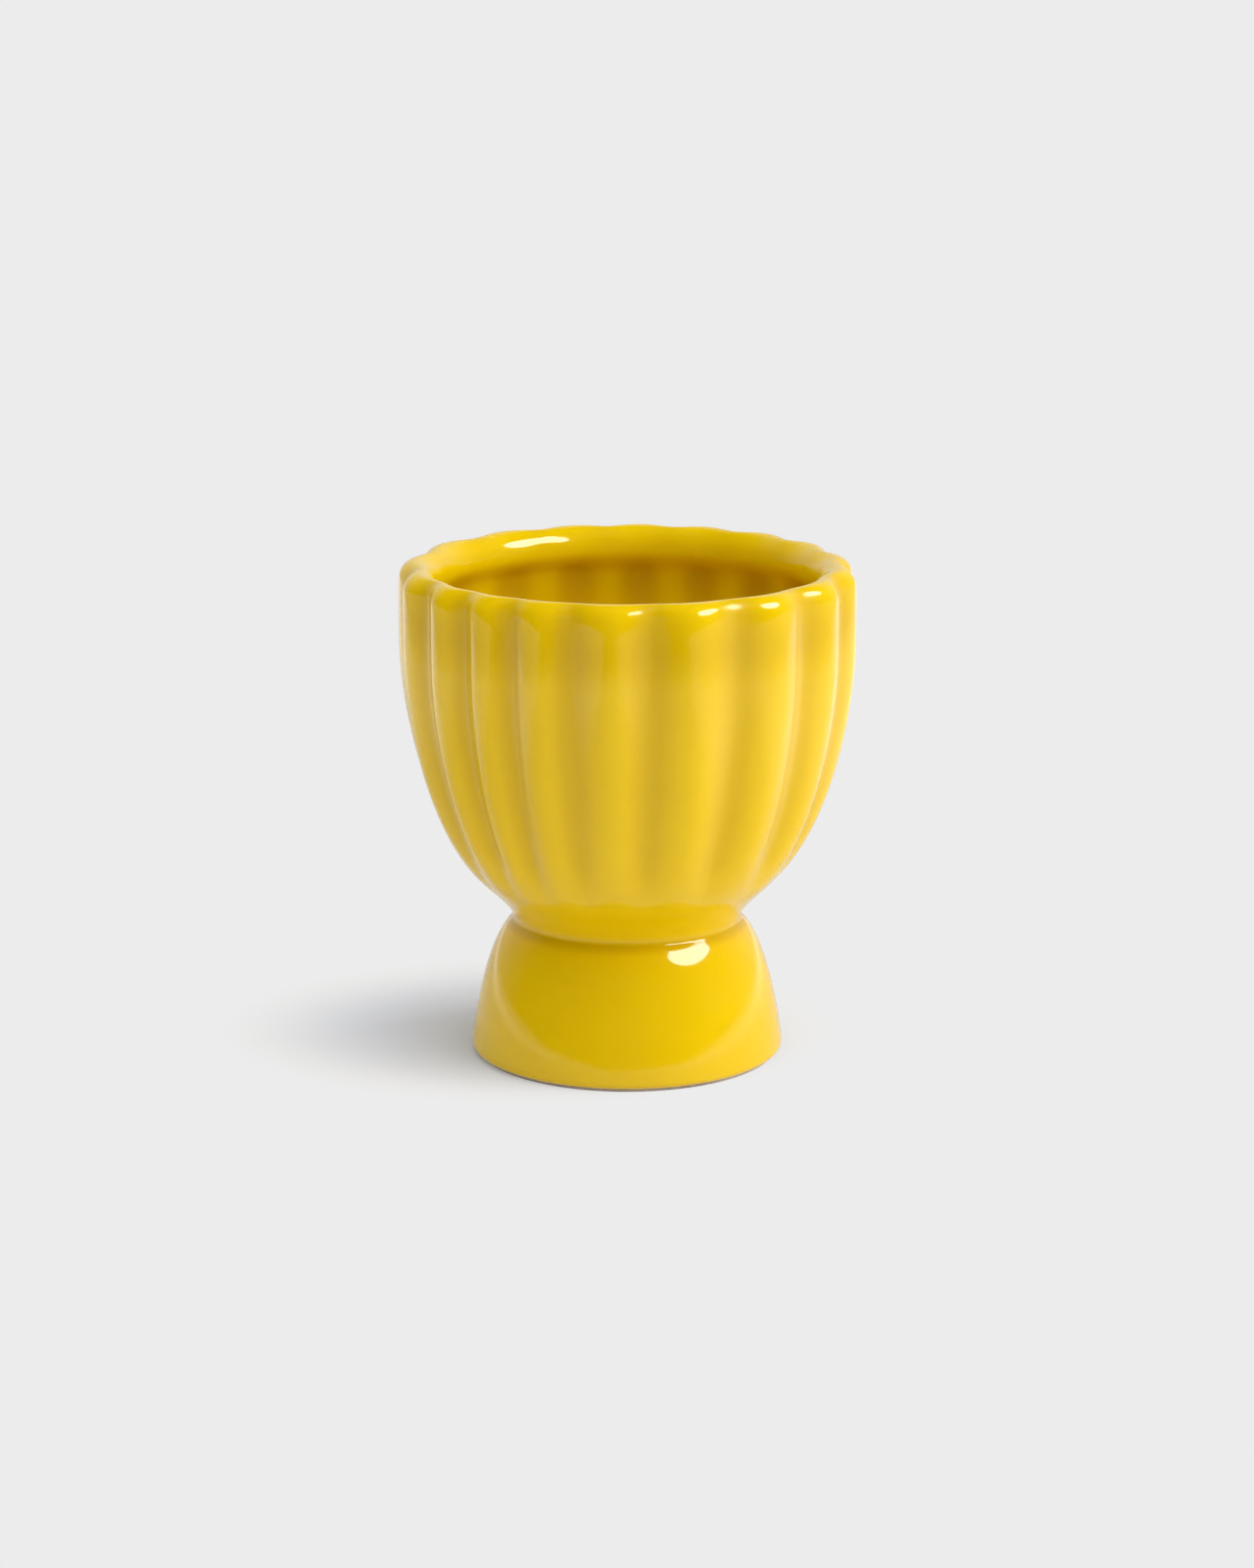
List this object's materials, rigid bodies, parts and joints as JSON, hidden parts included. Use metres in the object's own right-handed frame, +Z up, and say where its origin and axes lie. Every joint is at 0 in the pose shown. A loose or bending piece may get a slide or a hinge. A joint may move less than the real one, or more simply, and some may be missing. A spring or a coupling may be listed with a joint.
{
  "type": "egg cup",
  "caption": "Egg cup with a deep fluted bowl, a rounded scalloped rim and a flared hollow foot, in glossy glazed ceramic.",
  "frame": {"origin": "centre of the circle the cup stands on, at table height", "axes": "+Z up through the middle of the bowl, -Y the front, +X to the right seen from the front"},
  "size_m": [0.0544, 0.0546, 0.06],
  "materials": {
    "bowl_glaze": "gloss",
    "fired_slip": "matt",
    "foot_glaze": "gloss",
    "bare_clay": "matt"
  },
  "bodies": {
    "root": {"bowl": "bowl_glaze", "slip_joint": "fired_slip", "foot": "foot_glaze", "foot_ring": "bare_clay"}
  },
  "joints": []
}
